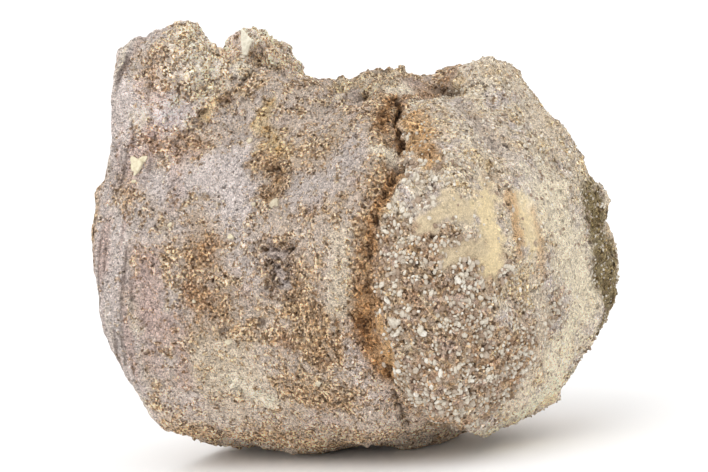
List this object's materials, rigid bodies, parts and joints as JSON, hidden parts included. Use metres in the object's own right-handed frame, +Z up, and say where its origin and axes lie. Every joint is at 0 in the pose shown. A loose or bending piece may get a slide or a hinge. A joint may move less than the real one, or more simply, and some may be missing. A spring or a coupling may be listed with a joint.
{
  "type": "fossil mosasaur vertebra",
  "caption": "Worn fossil mosasaur vertebra: hollow-fronted centrum with a domed, sand-crusted condyle and broken neural arch stubs on top.",
  "frame": {"origin": "middle of the bounding box's underside, on the ground the bone rests on", "axes": "+X along the backbone from the hollow front to the domed condyle, -Y the animal's left side, +Z up (dorsal)"},
  "size_m": [0.0731, 0.0662, 0.0744],
  "materials": {
    "fossil_bone": "rough, pitted and grainy, unpolished"
  },
  "bodies": {
    "root": {"vertebra": "fossil_bone"}
  },
  "joints": []
}
